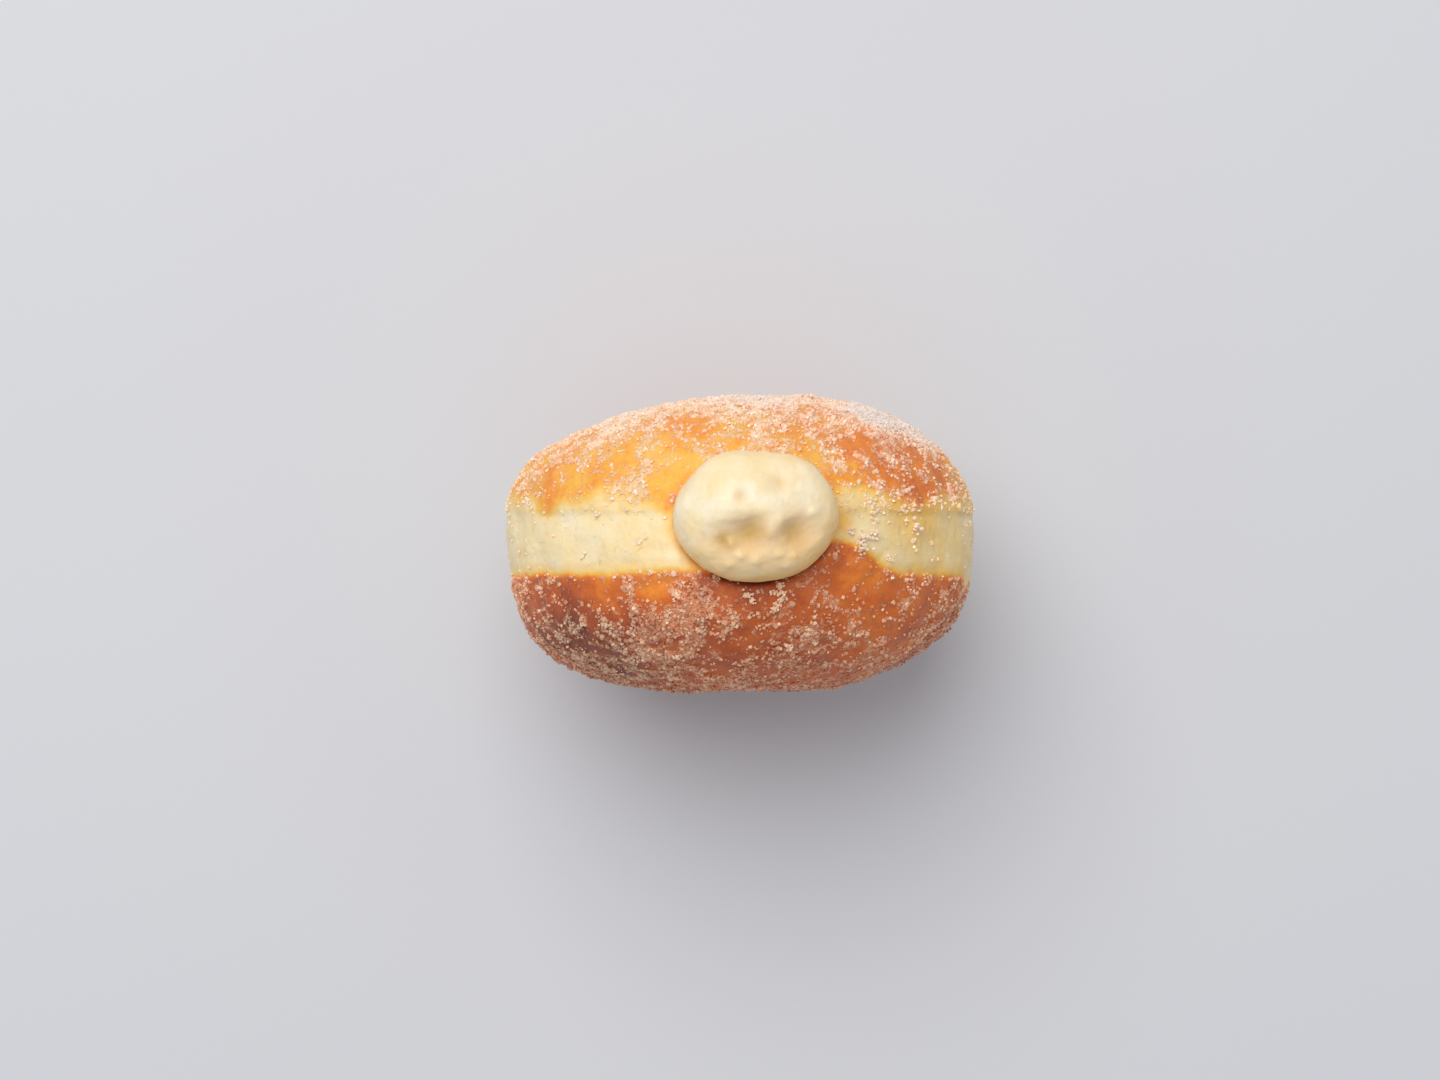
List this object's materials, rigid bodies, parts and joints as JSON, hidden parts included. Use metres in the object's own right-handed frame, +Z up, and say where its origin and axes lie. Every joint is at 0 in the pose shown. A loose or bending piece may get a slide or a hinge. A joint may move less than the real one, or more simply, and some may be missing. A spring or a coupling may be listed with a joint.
{
  "type": "cream-filled doughnut",
  "caption": "Round fried doughnut rolled in sugar, pale band round its waist, with a dollop of cream at the filling hole in its rim.",
  "frame": {"origin": "on the surface that the doughnut stands on, under the middle of its outer box", "axes": "+Z up through the filling hole, Y along the doughnut's own axis with the paler crust at +Y, X across its full width"},
  "size_m": [0.0922, 0.0592, 0.1],
  "materials": {
    "dough": "fried dough crust, golden on one side and browner on the other, with a pale band and coarse sugar",
    "cream": "soft satin pastry cream",
    "sugar": "clear white sugar crystals"
  },
  "bodies": {
    "root": {"dough": "dough", "cream": "cream"}
  },
  "joints": []
}
